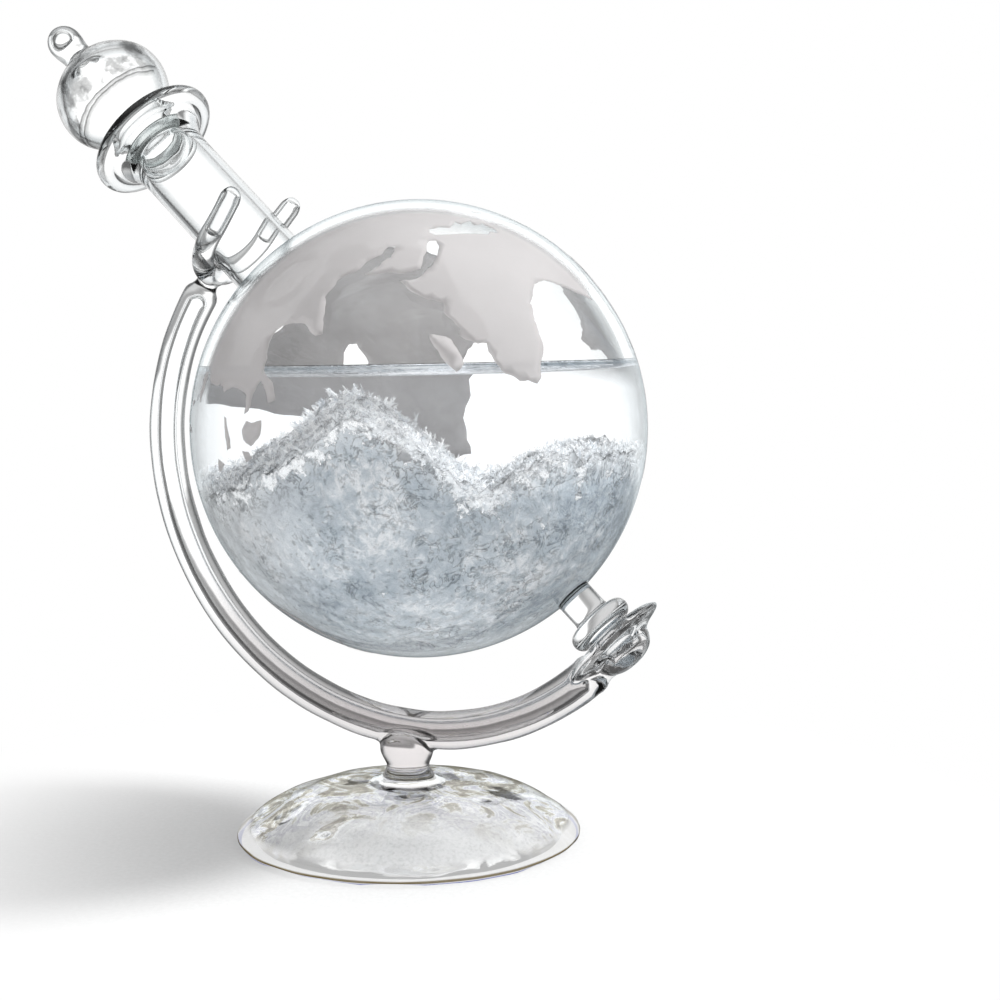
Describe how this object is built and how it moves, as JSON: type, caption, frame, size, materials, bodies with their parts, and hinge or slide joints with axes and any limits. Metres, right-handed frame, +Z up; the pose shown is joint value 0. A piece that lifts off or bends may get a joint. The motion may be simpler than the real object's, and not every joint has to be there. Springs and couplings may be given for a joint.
{
  "type": "storm glass globe",
  "caption": "Liquid-filled clear glass globe with frosted land areas and settled crystals, turning on a tilted axis in a C-shaped glass stand with a domed foot; stoppered neck.",
  "frame": {"origin": "on the resting plane, under the middle of the whole object's bounding box; the foot's centre is 18.5 mm along +X from it", "axes": "+Z up; the globe's axis leans 45 degrees from +Z towards -X, in the XZ plane; +Y to the back"},
  "size_m": [0.1522, 0.0998, 0.1887],
  "materials": {
    "clear_glass": "clear, fire-polished",
    "clear_seal": "translucent, satin",
    "liquid": "clear liquid",
    "crystals": "feathery crystals"
  },
  "bodies": {
    "stand": {"foot": "clear_glass", "stem": "clear_glass", "arm_tube": "clear_glass", "arm_upper_cap": "clear_glass", "arm_lower_cap": "clear_glass", "neck_fork": "clear_glass", "pivot_socket": "clear_glass"},
    "contents": {"storm_liquid": "liquid", "crystal_bed": "crystals"},
    "globe": {"globe_shell": "clear_glass", "neck_tube": "clear_glass", "neck_lip": "clear_glass", "pivot_pin": "clear_glass", "pivot_collar": "clear_glass"},
    "seal": {"stopper_seal": "clear_seal"},
    "stopper": {"stopper_plug": "clear_glass", "stopper_bulb": "clear_glass", "stopper_finial": "clear_glass"}
  },
  "joints": [
    {"name": "globe_lift", "type": "slide", "parent": "stand", "child": "contents", "axis": [-0.7071, 0, 0.7071], "range_m": [0, 0.006]},
    {"name": "globe_spin", "type": "hinge", "parent": "contents", "child": "globe", "pos_m": [0.02272, 0, 0.0898], "axis": [-0.7071, 0, 0.7071], "continuous": true},
    {"name": "stopper_lift", "type": "slide", "parent": "globe", "child": "seal", "axis": [-0.7071, 0, 0.7071], "range_m": [0, 0.03]},
    {"name": "stopper_twist", "type": "hinge", "parent": "seal", "child": "stopper", "pos_m": [-0.05768, 0, 0.1702], "axis": [-0.7071, 0, 0.7071], "continuous": true}
  ]
}
